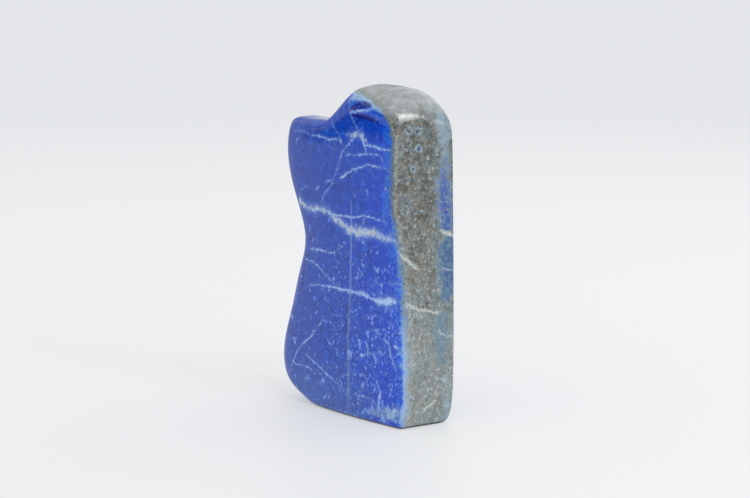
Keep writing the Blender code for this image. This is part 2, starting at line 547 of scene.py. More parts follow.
    Vein("shoulder_painted_reflection", Kind.HAZE, Run.UP, (
        (16.6, 79.0, 0.6), (16.4, 82.0, 1.8), (16.6, 87.0, 2.6), (16.2, 91.0, 2.4),
        (15.0, 94.0, 0.8)), Sheet.SIDE),
    Vein("side_belt", Kind.MILK, Run.ACROSS, (
        (0.4, 52.7, 0.50), (2.3, 50.8, 0.55), (6.2, 47.8, 0.50), (7.8, 46.6, 0.20)),
        Sheet.SIDE),
    Vein("side_low", Kind.MILK, Run.ACROSS, (
        (1.9, 37.2, 0.25), (6.3, 35.5, 0.34), (9.7, 34.5, 0.24), (14.1, 33.6, 0.34)),
        Sheet.SIDE),
    Vein("side_bar", Kind.MILK, Run.ACROSS, (
        (15.2, 57.6, 0.30), (17.0, 57.0, 0.60), (18.4, 56.3, 0.45), (20.7, 55.0, 0.30)),
        Sheet.SIDE),
    Vein("side_hair", Kind.MILK, Run.ACROSS, (
        (15.2, 46.6, 0.06), (17.4, 46.0, 0.10), (19.4, 45.8, 0.08)), Sheet.SIDE),
    Vein("side_thin", Kind.MILK, Run.ACROSS, (
        (13.7, 28.0, 0.08), (15.2, 27.2, 0.20), (17.2, 26.1, 0.14), (21.4, 26.4, 0.08)),
        Sheet.SIDE),
    Vein("side_foot", Kind.MILK, Run.ACROSS, (
        (8.4, 5.6, 0.12), (10.6, 6.4, 0.28), (13.2, 7.4, 0.12)), Sheet.SIDE),
)


@dataclass(frozen=True)
class Grain:
    """One kind of cloudy variation: its lumps in millimetres, and how rough they are."""

    size: float
    detail: float = 2.0
    roughness: float = 0.5
    distortion: float = 0.0


class Bench:
    """Lays out the nodes of one material or world and joins them.

    Every value that a method takes may be a number, a row of numbers or another node's
    output. Nodes are laid out in columns, in the order in which they are made.
    """

    COLUMN_NODES = 12
    COLUMN_STEP = 220.0
    ROW_STEP = -260.0

    def __init__(self, tree: bpy.types.NodeTree) -> None:
        """Takes over a node tree and empties it."""
        self.tree = tree
        self.tree.nodes.clear()

    def node(self, kind: str, **settings: object) -> bpy.types.Node:
        """Adds a node.

        Args:
            kind: the node's type name.
            settings: the node's own settings, by name.

        Returns:
            The new node.
        """
        column, row = divmod(len(self.tree.nodes), self.COLUMN_NODES)
        made = self.tree.nodes.new(kind)
        made.location = (self.COLUMN_STEP * column, self.ROW_STEP * row)
        for name, value in settings.items():
            setattr(made, name, value)
        return made

    def feed(self, socket: Socket, value: Feed) -> None:
        """Joins an output to a socket, or sets a number on it.

        Args:
            socket: the input that is fed.
            value: the output or the number.
        """
        if isinstance(value, bpy.types.NodeSocket):
            self.tree.links.new(value, socket)
        else:
            socket.default_value = value

    def feed_all(self, sockets: Iterable[Socket], values: Iterable[Feed]) -> None:
        """Feeds the first of some sockets with one value each."""
        for socket, value in zip(sockets, values):
            self.feed(socket, value)

    def math(self, operation: str, *values: Feed) -> Socket:
        """One operation on single values.

        Args:
            operation: the operation's name.
            values: what it works on, in order.

        Returns:
            The outcome.
        """
        made = self.node("ShaderNodeMath", operation=operation)
        self.feed_all(made.inputs, values)
        return made.outputs[0]

    def plus(self, first: Feed, second: Feed) -> Socket:
        """The sum of two values."""
        return self.math("ADD", first, second)

    def minus(self, first: Feed, second: Feed) -> Socket:
        """The first value less the second."""
        return self.math("SUBTRACT", first, second)

    def times(self, first: Feed, second: Feed) -> Socket:
        """The product of two values."""
        return self.math("MULTIPLY", first, second)

    def times_plus(self, value: Feed, factor: Feed, extra: Feed) -> Socket:
        """A value times a factor, plus an extra."""
        return self.math("MULTIPLY_ADD", value, factor, extra)

    def most(self, first: Feed, second: Feed) -> Socket:
        """The larger of two values."""
        return self.math("MAXIMUM", first, second)

    def gap(self, first: Feed, second: Feed) -> Socket:
        """How far apart two values lie."""
        return self.math("ABSOLUTE", self.minus(first, second))

    def vector(self, operation: str, *values: Feed) -> Socket:
        """One operation on whole vectors.

        Args:
            operation: the operation's name.
            values: what it works on, in order.

        Returns:
            The outcome: a vector, or a single value from a dot product or a distance.
        """
        made = self.node("ShaderNodeVectorMath", operation=operation)
        self.feed_all(made.inputs, values)
        single = operation in ("DOT_PRODUCT", "LENGTH", "DISTANCE")
        return made.outputs["Value" if single else "Vector"]

    def scaled(self, place: Socket, scale: Sequence[float]) -> Socket:
        """A place with each of its three parts multiplied by its own number."""
        return self.vector("MULTIPLY", place, scale)

    def pushed(self, place: Socket, cloud: bpy.types.Node, reach: float) -> Socket:
        """A place pushed about by the colour of a noise, up to half a reach each way."""
        push = self.vector("SUBTRACT", cloud.outputs["Color"], (0.5, 0.5, 0.5))
        return self.vector("MULTIPLY_ADD", push, (reach, reach, reach), place)

    def bent(self, place: Socket, grain: Grain, reach: float) -> Socket:
        """A place moved by the colour of a noise, by about half a reach on average."""
        bend = self.noise(place, grain).outputs["Color"]
        return self.vector("MULTIPLY_ADD", bend, (reach, reach, reach), place)

    def split(self, place: Socket) -> tuple[Socket, Socket, Socket]:
        """The three parts of a place.

        Args:
            place: the place.

        Returns:
            Its parts across, deep and up.
        """
        made = self.node("ShaderNodeSeparateXYZ")
        self.feed(made.inputs[0], place)
        return made.outputs[0], made.outputs[1], made.outputs[2]

    def join(self, across: Feed, deep: Feed, up: Feed) -> Socket:
        """A place from its three parts.

        Args:
            across: its first part.
            deep: its second part.
            up: its third part.

        Returns:
            The place.
        """
        made = self.node("ShaderNodeCombineXYZ")
        self.feed_all(made.inputs, (across, deep, up))
        return made.outputs[0]

    def noise(self, place: Socket, grain: Grain) -> bpy.types.Node:
        """A cloudy noise.

        Args:
            place: where it is read.
            grain: its size and roughness.

        Returns:
            The noise's node, with a single value and a colour.
        """
        made = self.node("ShaderNodeTexNoise", noise_dimensions="3D")
        self.feed(made.inputs["Vector"], place)
        made.inputs["Scale"].default_value = 1.0 / grain.size
        made.inputs["Detail"].default_value = grain.detail
        made.inputs["Roughness"].default_value = grain.roughness
        made.inputs["Distortion"].default_value = grain.distortion
        return made

    def cloud(self, place: Socket, grain: Grain) -> Socket:
        """The single value of a noise, about 0.5 on average."""
        return self.noise(place, grain).outputs["Fac"]

    def cells(self, place: Socket, size: float) -> bpy.types.Node:
        """Irregular cells of about one size.

        Args:
            place: where they are read.
            size: how wide a cell is, in millimetres.

        Returns:
            The cells' node, with a distance from the middle and a colour for each cell.
        """
        made = self.node("ShaderNodeTexVoronoi", voronoi_dimensions="3D", feature="F1")
        self.feed(made.inputs["Vector"], place)
        made.inputs["Scale"].default_value = 1.0 / size
        return made

    def step(self, value: Feed, start: Feed, end: Feed) -> Socket:
        """A soft step between two levels.

        Args:
            value: what is stepped.
            start: the level at which the outcome is 0.
            end: the level at which the outcome is 1. It may lie below start.

        Returns:
            The share of the step, from 0 to 1.
        """
        made = self.node("ShaderNodeMapRange", interpolation_type="SMOOTHSTEP")
        for name, part in (("Value", value), ("From Min", start), ("From Max", end)):
            self.feed(made.inputs[name], part)
        return made.outputs["Result"]

    def span(self, value: Feed, start: Feed, end: Feed, low: Feed, high: Feed) -> Socket:
        """Maps one range onto another along a straight line, and stops at both ends.

        Args:
            value: what is mapped.
            start: the level that becomes low.
            end: the level that becomes high.
            low: the outcome at start.
            high: the outcome at end.

        Returns:
            The mapped value.
        """
        made = self.node("ShaderNodeMapRange", interpolation_type="LINEAR", clamp=True)
        names = ("Value", "From Min", "From Max", "To Min", "To Max")
        for name, part in zip(names, (value, start, end, low, high)):
            self.feed(made.inputs[name], part)
        return made.outputs["Result"]

    def blend(self, share: Feed, first: Feed, second: Feed, way: str = "MIX") -> Socket:
        """Two colours in one.

        Args:
            share: how much of the second there is, from 0 to 1.
            first: the colour below.
            second: the colour above.
            way: how the second is laid over the first.

        Returns:
            The mixed colour.
        """
        made = self.node("ShaderNodeMix", data_type="RGBA", blend_type=way)
        for place, part in zip(MIX_COLOUR_INPUTS, (share, first, second)):
            self.feed(made.inputs[place], part)
        return made.outputs[MIX_COLOUR_OUTPUT]

    def veil(self, share: Feed, weight: float, first: Feed, second: Feed) -> Socket:
        """A second colour laid over a first, where share says and never above a weight."""
        return self.blend(self.times(share, weight), first, second)

    def curve(self, value: Socket, stops: Sequence[tuple[float, float]], name: str) -> Socket:
        """A value read off straight lines through stops.

        Args:
            value: where the lines are read, from 0 to 1.
            stops: the ends of the lines, from 0 to 1 both ways.
            name: what the curve is called in the tree.

        Returns:
            The height of the lines there.
        """
        made = self.node("ShaderNodeFloatCurve", label=name)
        self.feed(made.inputs["Value"], value)
        line = made.mapping.curves[0]
        line.points[0].location = stops[0]
        line.points[1].location = stops[-1]
        for stop in stops[1:-1]:
            line.points.new(*stop)
        for point in line.points:
            point.handle_type = "VECTOR"
        made.mapping.update()
        return made.outputs["Value"]


@dataclass(frozen=True)
class Spot:
    """The drawing's coordinates at a point of the stone, as node outputs."""

    place: Socket
    across: Socket
    deep: Socket
    up: Socket

    @classmethod
    def at(cls, bench: Bench, place: Socket) -> "Spot":
        """The coordinates of a place."""
        return cls(place, *bench.split(place))


@dataclass(frozen=True)
class Drawing:
    """Where the drawing lies on the part, and the sheets that its curves are read on."""

    origin: tuple[float, float, float] = (27.805, -10.965, 0.0)
    face_left: float = -60.0
    face_wide: float = 66.0
    side_left: float = -3.0
    side_wide: float = 28.0
    high: float = 102.0

    def spot(self, bench: Bench) -> Spot:
        """The drawing's coordinates in millimetres, from the part's own in metres.

        Args:
            bench: where the nodes are laid out.

        Returns:
            The coordinates at each point.
        """
        own = bench.node("ShaderNodeTexCoord")
        mapped = bench.node("ShaderNodeMapping", vector_type="POINT")
        bench.feed(mapped.inputs["Vector"], own.outputs["Object"])
        mapped.inputs["Location"].default_value = [-part for part in self.origin]
        mapped.inputs["Scale"].default_value = (1.0 / MM,) * 3
        return Spot.at(bench, mapped.outputs[0])

    def sheet_left(self, sheet: Sheet) -> float:
        """Where a sheet's left edge lies, across the face or deep into the side."""
        return self.face_left if sheet is Sheet.FACE else self.side_left

    def sheet_wide(self, sheet: Sheet) -> float:
        """How wide a sheet is."""
        return self.face_wide if sheet is Sheet.FACE else self.side_wide

    def across_stop(self, across: float, sheet: Sheet = Sheet.FACE) -> float:
        """The share on a sheet of one distance across it."""
        return (across - self.sheet_left(sheet)) / self.sheet_wide(sheet)

    def up_stop(self, up: float) -> float:
        """The share on a sheet of one height."""
        return up / self.high

    def across_share(self, bench: Bench, spot: Spot, sheet: Sheet = Sheet.FACE) -> Socket:
        """Where a point lies across a sheet.

        Args:
            bench: where the nodes are laid out.
            spot: the point.
            sheet: the sheet.

        Returns:
            Its share, from 0 at the sheet's left to 1 at its right.
        """
        along = spot.across if sheet is Sheet.FACE else spot.deep
        wide = 1.0 / self.sheet_wide(sheet)
        return bench.times_plus(along, wide, -self.sheet_left(sheet) * wide)

    def up_share(self, bench: Bench, spot: Spot) -> Socket:
        """Where a point lies up a sheet, from 0 at its foot to 1 at its head."""
        return bench.times(spot.up, 1.0 / self.high)

    def run_share(self, bench: Bench, spot: Spot, run: Run, sheet: Sheet) -> Socket:
        """Where a point lies along a run.

        Args:
            bench: where the nodes are laid out.
            spot: the point.
            run: the way of the run.
            sheet: the sheet that it runs over.

        Returns:
            Its share, from 0 to 1.
        """
        if run is Run.UP:
            return self.up_share(bench, spot)
        return self.across_share(bench, spot, sheet)


@dataclass(frozen=True)
class VeinField:
    """Measures how far inside the nearest vein a point lies, in millimetres.

    A vein's half width is kept on a curve from 0 to 1, so it is raised by width_floor and
    divided by width_range. It fades out over tip past its ends, to outside.
    """

    drawing: Drawing
    tip: float = 1.5
    outside: float = 3.0
    width_floor: float = 4.0
    width_range: float = 9.0
    first_stop: float = 0.002
    last_stop: float = 0.998

    def stops(self, vein: Vein) -> tuple[list[tuple[float, float]], list[tuple[float, float]]]:
        """A vein's route as two curves.

        Args:
            vein: the vein.

        Returns:
            The stops of its centre line, and those of its half width, from 0 to 1.
        """
        drawing = self.drawing
        centre: list[tuple[float, float]] = []
        width: list[tuple[float, float]] = []
        for across, up, half in vein.route:
            at, off = drawing.across_stop(across, vein.sheet), drawing.up_stop(up)
            if vein.run is Run.UP:
                at, off = off, at
            centre.append((at, off))
            width.append((at, (half + self.width_floor) / self.width_range))
        long = drawing.sheet_wide(vein.sheet) if vein.run is Run.ACROSS else drawing.high
        reach = self.tip / long
        gone = (self.width_floor - self.outside) / self.width_range
        start = max(self.first_stop, width[0][0] - reach)
        end = min(self.last_stop, width[-1][0] + reach)
        width = [(0.0, gone), (start, gone), *width, (end, gone), (1.0, gone)]
        centre = [(0.0, centre[0][1]), *centre, (1.0, centre[-1][1])]
        return centre, width

    def inside(self, bench: Bench, spot: Spot, kind: Kind) -> Socket:
        """How far inside the nearest vein of one kind a point lies.

        Args:
            bench: where the nodes are laid out.
            spot: the point.
            kind: the kind of vein.

        Returns:
            The distance to the vein's edge in millimetres, below 0 outside it.
        """
        drawing = self.drawing
        shares: dict[tuple[Run, Sheet], Socket] = {}
        deepest: Feed = self.width_floor - self.outside
        for vein in VEINS:
            if vein.kind is not kind:
                continue
            way = (vein.run, vein.sheet)
            if way not in shares:
                shares[way] = drawing.run_share(bench, spot, *way)
            if vein.run is Run.ACROSS:
                off, scale, shift = spot.up, drawing.high, 0.0
            else:
                off = spot.across if vein.sheet is Sheet.FACE else spot.deep
                scale = drawing.sheet_wide(vein.sheet)
                shift = drawing.sheet_left(vein.sheet)
            centre_stops, width_stops = self.stops(vein)
            centre = bench.curve(shares[way], centre_stops, f"{vein.name}_line")
            width = bench.curve(shares[way], width_stops, f"{vein.name}_width")
            middle = bench.times_plus(centre, scale, shift)
            half = bench.times(width, self.width_range)
            deepest = bench.most(bench.minus(half, bench.gap(off, middle)), deepest)
        return bench.minus(deepest, self.width_floor)


@dataclass(frozen=True)
class BlueTones:
    """The blues of the polished lapis, and the calcite in them. night also paints dark
    reflections and a shade onto the face.
    """

    left: Tone = tone(34, 66, 159)
    middle: Tone = tone(12, 64, 169)
    right: Tone = tone(0, 62, 190)
    foot: Tone = tone(50, 84, 168)
    night: Tone = tone(0, 18, 112)
    azure: Tone = tone(24, 98, 208)
    speck: Tone = tone(116, 150, 220)
    haze: Tone = tone(84, 116, 196)
    thread: Tone = tone(146, 176, 226)
    cream: Tone = tone(178, 190, 196)
    milk: Tone = tone(162, 192, 230)
    fringe: Tone = tone(62, 120, 194)
    tan: Tone = tone(140, 156, 168)
    # The rim tones paint the highlight along the rounded edges at the border; rim_middle also
    # tints the pale caps.
    rim_low: Tone = tone(140, 172, 210)
    rim_middle: Tone = tone(88, 126, 172)
    rim_high: Tone = tone(80, 108, 142)
    ice: Tone = tone(156, 186, 212)


@dataclass(frozen=True)
class MatrixTones:
    """The greys and browns of the matrix, and the faded blues in it, with a painted shade and
    a near-black tone that paints a contact shadow along the base.
    """

    dark: Tone = tone(72, 71, 63)
    middle: Tone = tone(94, 101, 98)
    light: Tone = tone(125, 134, 135)
    pale: Tone = tone(173, 179, 176)
    rust: Tone = tone(116, 106, 95)
    slate: Tone = tone(100, 121, 132)
    strong: Tone = tone(16, 52, 146)
    steel: Tone = tone(36, 72, 124)
    faded: Tone = tone(74, 104, 150)
    teal: Tone = tone(68, 104, 132)
    mist: Tone = tone(98, 124, 139)
    frost: Tone = tone(157, 163, 165)
    haze: Tone = tone(134, 157, 172)
    milk: Tone = tone(190, 196, 192)
    dome: Tone = tone(130, 136, 137)
    shade: Tone = tone(100, 103, 94)
    # Near-black painted contact shadow along the foot of the stone.
    sawn_and_shadowed: Tone = tone(24, 26, 28)


@dataclass(frozen=True)
class BlueGrains:
    """The sizes of everything uneven in the blue and in its veins."""

    body: Grain = Grain(9.0, 3.0, 0.55)
    night: Grain = Grain(3.4, 4.0, 0.6)
    azure: Grain = Grain(2.4, 4.0, 0.66)
    streaks: Grain = Grain(0.8, 2.0, 0.6)
    fine: Grain = Grain(1.0, 4.0, 0.7)
    crowds: Grain = Grain(6.0)
    coarse_specks: Grain = Grain(2.0, 2.0, 0.62, 0.3)
    fine_specks: Grain = Grain(0.75, 2.0, 0.6)
    dot_bend: Grain = Grain(0.9)
    dot_size: float = 1.5
    cracks: Grain = Grain(9.0, 3.0, 0.55)
    crack_gaps: Grain = Grain(4.0)
    wisps: Grain = Grain(2.2, 4.0, 0.68)
    slow_push: Grain = Grain(7.0, 1.0)
    quick_push: Grain = Grain(1.5, 3.0, 0.6)
    torn_edge: Grain = Grain(1.1, 4.0, 0.7, 0.5)
    lumps: Grain = Grain(2.4, 3.0, 0.6)
    hair: Grain = Grain(0.9, 2.0, 0.6)
    tufts: Grain = Grain(2.6)
    gleam: Grain = Grain(2.0, 3.0, 0.6)
    mottle: Grain = Grain(1.3, 3.0, 0.6)


@dataclass(frozen=True)
class MatrixGrains:
    """The sizes of everything uneven in the matrix, on its border and in the polish."""

    patches: Grain = Grain(6.0, 3.0, 0.55)
    mottle: Grain = Grain(2.6, 3.0, 0.58)
    fine: Grain = Grain(0.8, 3.0, 0.6)
    rust: Grain = Grain(3.0, 3.0, 0.58, 0.9)
    slate: Grain = Grain(1.5, 4.0, 0.66)
    pale: Grain = Grain(1.05, 3.0, 0.62, 0.4)
    brushed: Grain = Grain(1.0, 3.0, 0.62)
    ring_bend: Grain = Grain(0.9, 3.0, 0.6)
    ring_gaps: Grain = Grain(0.8, 2.0, 0.6)
    patch_push: Grain = Grain(2.0, 4.0, 0.65)
    torn: Grain = Grain(1.8, 4.0, 0.66)
    strip_depth: Grain = Grain(1.8, 4.0, 0.64)
    strip_flecks: Grain = Grain(0.9, 3.0, 0.66)
    border: Grain = Grain(1.8, 4.0, 0.65)
    border_mottle: Grain = Grain(0.9, 3.0, 0.6)
    wear: Grain = Grain(6.0, 4.0, 0.6)
    relief: Grain = Grain(0.7, 4.0, 0.65)
    pits: Grain = Grain(0.55)


@dataclass(frozen=True)
class RingSpot:
    """A small ring of faded blue in the matrix: its middle on the side, and its size."""

    deep: float
    up: float
    radius: float
    blue: float


@dataclass(frozen=True)
class PolishedLapis:
    """The whole finish of the stone, laid out in one procedural material.

    The border's stops are (up, how far it lies right of the front edge), and the crown's
    are (across, how high the blue reaches there).
    """

    drawing: Drawing = Drawing()
    blues: BlueTones = BlueTones()
    greys: MatrixTones = MatrixTones()
    clouds: BlueGrains = BlueGrains()
    grains: MatrixGrains = MatrixGrains()
    border_reach: float = 4.0
    border: tuple[tuple[float, float], ...] = (
        (0.0, 0.1), (6.0, 0.35), (20.0, 0.45), (40.0, 0.65), (47.0, 0.65), (53.0, 0.5),
        (57.0, 0.1), (60.0, -0.3), (63.0, -1.0), (67.0, -1.3), (73.0, -0.95), (79.0, -0.6),
        (84.0, -0.3), (88.0, -0.9), (102.0, -1.0),
    )
    crown: tuple[tuple[float, float], ...] = (
        (-25.0, 101.0), (-21.2, 97.6), (-17.0, 97.0), (-13.4, 95.9), (-12.1, 94.8),
        (-8.5, 93.1), (-5.5, 90.7), (-3.6, 88.4), (-2.0, 84.0), (2.0, 70.0),
    )
    rings: tuple[RingSpot, ...] = (
        RingSpot(5.2, 87.3, 1.0, 0.2),
        RingSpot(8.1, 86.9, 1.1, 0.7),
        RingSpot(8.4, 82.0, 0.9, 0.9),
        RingSpot(6.4, 76.2, 0.8, 0.6),
        RingSpot(3.5, 64.2, 1.3, 0.1),
    )
    ring_bend: float = 1.9
    front_push: float = 1.2
    push_by_depth: float = 0.45
    quick_push: float = 1.5
    patch_push: float = 3.0
    lean_across: float = 0.25
    lean_up: float = 0.30
    crown_streaks: float = -50.0
    ior: float = 1.5
    relief_depth: float = 0.00005

    def material(self) -> bpy.types.Material:
        """The stone's material.

        Returns:
            The material, with its colour, roughness and fine relief.
        """
        finish = bpy.data.materials.new("polished_lapis")
        finish.use_nodes = True
        bench = Bench(finish.node_tree)
        painter = LapisPainter(self, bench, self.drawing.spot(bench))
        inside = painter.matrix_depth()
        colour, veined = painter.colour(inside)
        shader = bench.node("ShaderNodeBsdfPrincipled")
        bench.feed(shader.inputs["Base Color"], colour)
        bench.feed(shader.inputs["Roughness"], painter.roughness(inside, veined))
        bench.feed(shader.inputs["Normal"], painter.relief(inside))
        shader.inputs["IOR"].default_value = self.ior
        output = bench.node("ShaderNodeOutputMaterial")
        bench.feed(output.inputs["Surface"], shader.outputs[0])
        return finish


@dataclass(frozen=True)
class LapisPainter:
    """Lays out the nodes of the lapis finish, layer over layer.

    Every distance that it reads or gives is in millimetres in the drawing.
    """

    finish: PolishedLapis
    bench: Bench
    spot: Spot

    def wandered(self) -> Spot:
        """The drawing pushed about a little, and more so deeper in the stone.

        Veins follow the wandered drawing, so that they are never ruled lines, and they
        come out lower and further left on the back.

        Returns:
            The wandered coordinates.
        """
        bench, spot, finish = self.bench, self.spot, self.finish
        depth = bench.most(spot.deep, 0.0)
        reach = bench.times_plus(depth, finish.push_by_depth, finish.front_push)
        slow = bench.noise(spot.place, finish.clouds.slow_push).outputs["Color"]
        slow = bench.vector("SUBTRACT", slow, (0.5, 0.5, 0.5))
        slow = bench.vector("MULTIPLY", slow, bench.join(reach, reach, reach))
        moved = bench.vector("ADD", spot.place, slow)
        quick = bench.noise(spot.place, finish.clouds.quick_push)
        moved = bench.pushed(moved, quick, finish.quick_push)
        lean = bench.join(
            bench.times(spot.deep, finish.lean_across),
            0.0,
            bench.times(spot.deep, finish.lean_up),
        )
        return Spot.at(bench, bench.vector("ADD", moved, lean))

    def nudged(self) -> Spot:
        """The drawing with only small wandering, for the patches of the side.

        Returns:
            The nudged coordinates.
        """
        cloud = self.bench.noise(self.spot.place, self.finish.grains.patch_push)
        place = self.bench.pushed(self.spot.place, cloud, self.finish.patch_push)
        return Spot.at(self.bench, place)

    def matrix_depth(self) -> Socket:
        """How far inside the grey matrix a point lies.

        The matrix lies behind the right side and above the crown's line.

        Returns:
            The distance to the matrix's edge, below 0 in the blue.
        """
        bench, spot, drawing = self.bench, self.spot, self.finish.drawing
        up_share = drawing.up_share(bench, spot)
        edge_stops = [
            (drawing.up_stop(row.right_height), drawing.across_stop(row.right_edge))
            for row in ROWS
        ]
        edge_stops.append((1.0, drawing.across_stop(ROWS[-1].right_edge)))
        edge = bench.curve(up_share, edge_stops, "right_edge")
        edge = bench.times_plus(edge, drawing.face_wide, drawing.face_left)
        reach = self.finish.border_reach
        border_stops = [
            (drawing.up_stop(up), off / reach + 0.5) for up, off in self.finish.border
        ]
        border = bench.curve(up_share, border_stops, "border")
        border = bench.times_plus(border, reach, -0.5 * reach)
        behind = bench.minus(spot.across, bench.plus(edge, border))
        turned = bench.span(spot.deep, -0.3, 4.7, -0.15, 2.35)
        side = bench.plus(behind, turned)

        crown_stops = [
            (drawing.across_stop(across), drawing.up_stop(up))
            for across, up in self.finish.crown
        ]
        crown_stops = [(0.0, 1.0), *crown_stops, (1.0, 0.6)]
        crown = bench.curve(drawing.across_share(bench, spot), crown_stops, "crown_line")
        above = bench.plus(spot.up, bench.times(crown, -drawing.high))
        above = bench.times_plus(spot.deep, 0.30, above)
        inside = bench.most(side, above)
        rough = bench.cloud(spot.place, self.finish.grains.border)
        return bench.times_plus(rough, 2.6, bench.minus(inside, 1.3))

    def colour(self, inside: Socket) -> tuple[Socket, Socket]:
        """The stone's colour, from the blue and the matrix to the sawn underside, with a
        contact shadow painted along its foot.

        Args:
            inside: how far inside the matrix a point lies.

        Returns:
            The colour, and how much of a point is vein.
        """
        body = self.blue_body(inside)
        body = self.bench.veil(self.specks(), 0.78, body, self.finish.blues.speck)
        body, veined = self.with_veins(body)
        body = self.joined(inside, body, self.matrix_body())
        # Painted contact shadow: the foot of the stone is made near-black.
        return self.bench.veil(self.sawn_and_shadowed(), 0.95, body, self.finish.greys.sawn_and_shadowed), veined

    def sawn_and_shadowed(self) -> Socket:
        """How much of a point belongs to the sawn underside, whose foot also carries a painted
        contact shadow.
        """
        return self.bench.step(self.spot.up, 1.05, 0.40)

    def blue_body(self, inside: Socket) -> Socket:
        """The blue itself: hazier on the left, most vivid beside the matrix.

        Args:
            inside: how far inside the matrix a point lies.

        Returns:
            The blue.
        """
        bench, spot = self.bench, self.spot
        blues, clouds = self.finish.blues, self.finish.clouds
        cloud = bench.cloud(spot.place, clouds.body)
        sway = bench.times_plus(cloud, 26.0, spot.across)
        body = bench.blend(bench.step(sway, -42.0, -14.0), blues.left, blues.middle)
        body = bench.blend(bench.step(sway, -14.0, 14.0), body, blues.right)
        low = bench.step(bench.times_plus(cloud, 12.0, spot.up), 24.0, 8.0)
        low = bench.times(low, bench.step(spot.across, -6.0, -18.0))
        body = bench.blend(low, body, blues.foot)

        night = bench.step(bench.cloud(spot.place, clouds.night), 0.50, 0.70)
        body = bench.veil(night, 0.42, body, blues.night)
        near = bench.step(inside, -7.0, -1.0)
        azure = bench.times_plus(near, 0.13, bench.cloud(spot.place, clouds.azure))
        body = bench.veil(bench.step(azure, 0.54, 0.70), 0.70, body, blues.azure)

        streaks = bench.cloud(bench.scaled(spot.place, (1.0, 1.0, 0.15)), clouds.streaks)
        lift = bench.times_plus(streaks, 0.35, 0.20)
        lift = bench.times_plus(bench.cloud(spot.place, clouds.fine), 1.25, lift)
        return bench.blend(1.0, body, bench.join(lift, lift, lift), way="MULTIPLY")

    def specks(self) -> Socket:
        """Light flecks in the blue, thickest over its lower half and beside the matrix.

        Returns:
            How much of a point is fleck.
        """
        bench, spot, clouds = self.bench, self.spot, self.finish.clouds
        low = bench.step(spot.up, 68.0, 36.0)
        near = bench.step(spot.across, -44.0, -10.0)
        crowd = bench.times(low, bench.times_plus(near, 0.55, 0.45))
        patch = bench.cloud(spot.place, clouds.crowds)
        crowd = bench.times(crowd, bench.span(patch, 0.34, 0.54, 0.35, 1.0))
        shift = bench.times_plus(crowd, 0.105, -0.685)
        flat = bench.scaled(spot.place, (1.0, 1.0, 0.75))
        coarse = bench.plus(bench.cloud(flat, clouds.coarse_specks), shift)
        coarse = bench.step(coarse, -0.01, 0.045)
        fine = bench.plus(bench.cloud(spot.place, clouds.fine_specks), shift)
        fine = bench.times(bench.step(fine, -0.01, 0.06), 0.6)

        bent = bench.bent(spot.place, clouds.dot_bend, 0.7)
        cell = bench.cells(bent, clouds.dot_size)
        chance, _, _ = bench.split(cell.outputs["Color"])
        radius = bench.times_plus(chance, 0.38, -0.30)
        radius = bench.times_plus(crowd, 0.36, radius)
        dot = bench.minus(radius, cell.outputs["Distance"])
        dot = bench.times(bench.step(dot, -0.04, 0.10), 0.9)
        return bench.most(dot, bench.most(coarse, fine))

    def hairlines(self) -> Socket:
        """Faint healed cracks: broken thin lines over the blue, and pale wisps by them.

        Returns:
            How much of a point is crack or wisp.
        """
        bench, spot, clouds = self.bench, self.spot, self.finish.clouds
        ridge = bench.cloud(bench.scaled(spot.place, (1.0, 1.0, 1.35)), clouds.cracks)
        line = bench.step(bench.gap(ridge, 0.5), 0.0095, 0.0)
        gate = bench.step(bench.cloud(spot.place, clouds.crack_gaps), 0.42, 0.58)
        line = bench.times(bench.times(line, gate), 0.8)
        wisp = bench.step(bench.cloud(spot.place, clouds.wisps), 0.56, 0.72)
        wisp = bench.times(wisp, bench.span(spot.across, -36.0, -10.0, 0.15, 0.45))
        return bench.most(line, wisp)

    def with_veins(self, body: Socket) -> tuple[Socket, Socket]:
        """The blue with its calcite veins, and with painted dark reflections and a painted
        shade laid over it.

        Args:
            body: the blue below them.

        Returns:
            The colour, and how much of a point is vein.
        """
        bench, spot = self.bench, self.spot
        blues, clouds = self.finish.blues, self.finish.clouds
        wandered = self.wandered()
        field = VeinField(self.finish.drawing)
        ragged = bench.times_plus(bench.cloud(spot.place, clouds.torn_edge), 1.4, -0.70)
        lumps = bench.times_plus(bench.cloud(spot.place, clouds.lumps), 1.4, -0.70)
        hair = bench.cloud(bench.scaled(spot.place, (1.0, 1.0, 0.28)), clouds.hair)
        tuft = bench.step(bench.cloud(spot.place, clouds.tufts), 0.42, 0.62)
        hair = bench.times(bench.step(hair, 0.50, 0.74), tuft)

        cap = field.inside(bench, wandered, Kind.CAP)
        cap = bench.times_plus(lumps, 2.4, bench.times_plus(ragged, 2.6, cap))
        cap_tone = bench.blend(bench.step(lumps, -0.16, 0.06), blues.rim_middle, blues.ice)
        body = bench.veil(bench.step(cap, -1.3, 1.6), 0.78, body, cap_tone)
        # The dark navy bands: painted reflections and a painted shade laid over the blue.
        night = field.inside(bench, spot, Kind.PAINTED_DARK)
        night = bench.step(bench.times_plus(ragged, 0.5, night), -0.45, 0.35)
        body = bench.veil(night, 0.92, body, blues.night)

        thread = field.inside(bench, wandered, Kind.THREAD)
        thread = bench.times_plus(ragged, 1.1, thread)
        thread = bench.times_plus(hair, 0.30, thread)
        belt = field.inside(bench, wandered, Kind.BELT)
        belt = bench.times_plus(lumps, 2.0, bench.times_plus(ragged, 1.3, belt))
        belt = bench.times_plus(hair, 0.50, belt)
        plumb = field.inside(bench, spot, Kind.PLUMB)
        plumb = bench.times_plus(ragged, 0.35, plumb)

